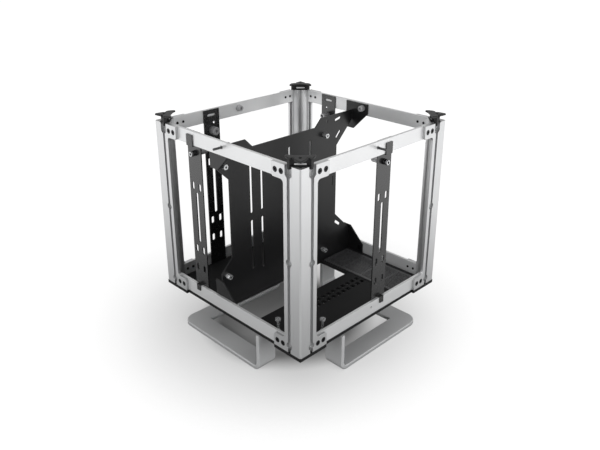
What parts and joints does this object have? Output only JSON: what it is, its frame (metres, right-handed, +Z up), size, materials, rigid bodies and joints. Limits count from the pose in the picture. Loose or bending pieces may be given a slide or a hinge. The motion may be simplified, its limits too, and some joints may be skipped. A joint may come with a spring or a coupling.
{
  "type": "computer case",
  "caption": "Open cube-shaped mini-ITX computer case: aluminium corner posts and rails, a standing black board tray, slotted brackets, a ventilated base and bent strap feet.",
  "frame": {"origin": "centre of the case on the floor, at the underside of the feet", "axes": "+Z up; -Y is the side with the standoffs, the face to the picture's right of the near post; +X to the picture's right"},
  "size_m": [0.2466, 0.2466, 0.2629],
  "materials": {
    "aluminium_post": "satin anodised",
    "aluminium_rail": "satin anodised",
    "aluminium_foot": "bead blasted",
    "black_plastic": "matt",
    "black_coat_base": "fine powder coat",
    "black_coat_mesh": "fine powder coat",
    "black_coat_tray": "fine powder coat",
    "black_coat_bracket": "fine powder coat",
    "black_steel": "black oxide",
    "zinc_steel": "zinc plated",
    "nickel_knurl": "nickel plated"
  },
  "bodies": {
    "root": {"corner_post_near": "aluminium_post", "corner_post_right": "aluminium_post", "corner_post_back": "aluminium_post", "corner_post_left": "aluminium_post", "corner_cap_near": "black_plastic", "corner_cap_right": "black_plastic", "corner_cap_back": "black_plastic", "corner_cap_left": "black_plastic", "top_rail_front": "aluminium_rail", "top_rail_right": "aluminium_rail", "top_rail_rear": "aluminium_rail", "top_rail_left": "aluminium_rail", "bottom_rail_front": "aluminium_rail", "bottom_rail_right": "aluminium_rail", "bottom_rail_rear": "aluminium_rail", "bottom_rail_left": "aluminium_rail", "base_plate": "black_coat_base", "mesh_panel": "black_coat_mesh", "motherboard_tray": "black_coat_tray", "board_standoffs": "zinc_steel", "slotted_bracket_front": "black_coat_bracket", "slotted_bracket_right": "black_coat_bracket", "slotted_bracket_rear": "black_coat_bracket", "slotted_bracket_left": "black_coat_bracket", "bracket_thumbscrews": "nickel_knurl", "bracket_bushes": "black_steel", "bracket_nuts": "zinc_steel", "panel_thumbscrews": "nickel_knurl", "tray_screws": "black_steel", "rail_screws": "black_steel", "foot_right": "aluminium_foot", "foot_left": "aluminium_foot", "foot_screws": "black_steel", "base_pillars": "zinc_steel"}
  },
  "joints": []
}
